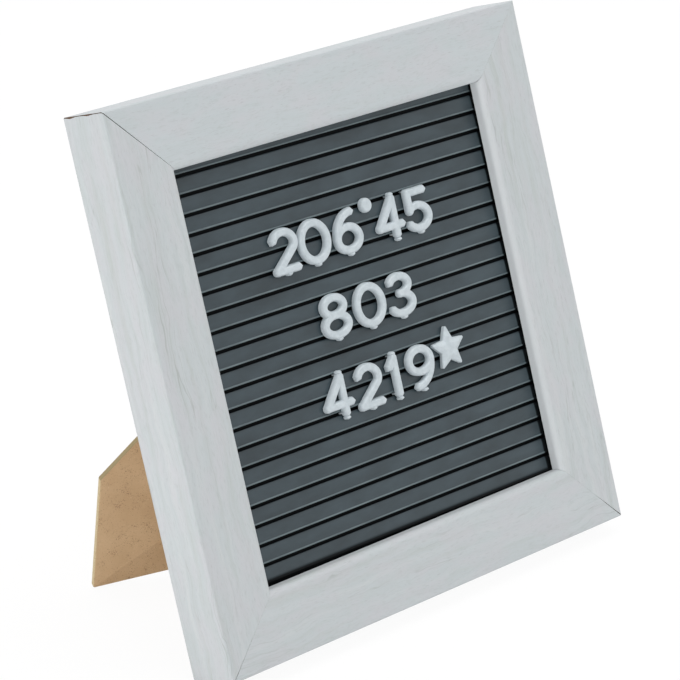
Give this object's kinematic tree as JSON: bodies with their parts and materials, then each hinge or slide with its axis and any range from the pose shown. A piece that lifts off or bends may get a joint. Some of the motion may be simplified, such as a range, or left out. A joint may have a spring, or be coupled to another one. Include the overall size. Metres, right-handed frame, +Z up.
{
  "type": "message board",
  "caption": "Square table-top message board: mitred wood-grain frame round a grooved plastic panel with push-in numerals, stood up by a diagonal easel strut hinged to the back.",
  "frame": {"origin": "the middle of the footprint of the standing board, on the surface that it stands on", "axes": "+Z up, the front faces -Y and leans back by 18 degrees, +X to the right as one reads it"},
  "size_m": [0.24, 0.1248, 0.2359],
  "materials": {
    "foil": "pale whitewashed wood-grain foil on fibreboard, satin",
    "panel": "slate grey, fine satin",
    "characters": "white moulded, soft gloss",
    "fibreboard": "bare fibreboard, matt",
    "steel": "bright zinc plate"
  },
  "bodies": {
    "board": {"bottom_rail": "foil", "left_stile": "foil", "top_rail": "foil", "right_stile": "foil", "letter_panel": "panel", "batten_top": "fibreboard", "batten_bottom": "fibreboard", "batten_left": "fibreboard", "batten_right": "fibreboard", "back_board": "fibreboard", "row1_1_numeral_2": "characters", "row1_2_numeral_0": "characters", "row1_3_numeral_6": "characters", "row1_4_dot": "characters", "row1_5_numeral_4": "characters", "row1_6_numeral_5": "characters", "row2_1_numeral_8": "characters", "row2_2_numeral_0": "characters", "row2_3_numeral_3": "characters", "row3_1_numeral_4": "characters", "row3_2_numeral_2": "characters", "row3_3_numeral_1": "characters", "row3_4_numeral_9": "characters", "row3_star": "characters", "hinge_base_leaf": "steel", "hinge_pin": "steel"},
    "strut": {"strut_leaf": "steel", "strut": "fibreboard"},
    "button_top": {"turn_button_top": "steel"},
    "button_bottom": {"turn_button_bottom": "steel"},
    "button_left": {"turn_button_left": "steel"},
    "button_right": {"turn_button_right": "steel"}
  },
  "joints": [
    {"name": "strut_hinge", "type": "hinge", "parent": "board", "child": "strut", "pos_m": [0, 0.0013, 0.11329], "axis": [0.6972, -0.2215, -0.6818], "range_deg": [-35.5, 0]},
    {"name": "button_top_swivel", "type": "hinge", "parent": "board", "child": "button_top", "pos_m": [0.054, 0.03178, 0.21327], "axis": [0, 0.9511, -0.309], "continuous": true},
    {"name": "button_bottom_swivel", "type": "hinge", "parent": "board", "child": "button_bottom", "pos_m": [0.054, -0.0328, 0.01449], "axis": [0, 0.9511, -0.309], "continuous": true},
    {"name": "button_left_swivel", "type": "hinge", "parent": "board", "child": "button_left", "pos_m": [-0.1045, 0.01618, 0.16524], "axis": [0, 0.9511, -0.309], "continuous": true},
    {"name": "button_right_swivel", "type": "hinge", "parent": "board", "child": "button_right", "pos_m": [0.1045, 0.00783, 0.13956], "axis": [0, 0.9511, -0.309], "continuous": true}
  ]
}
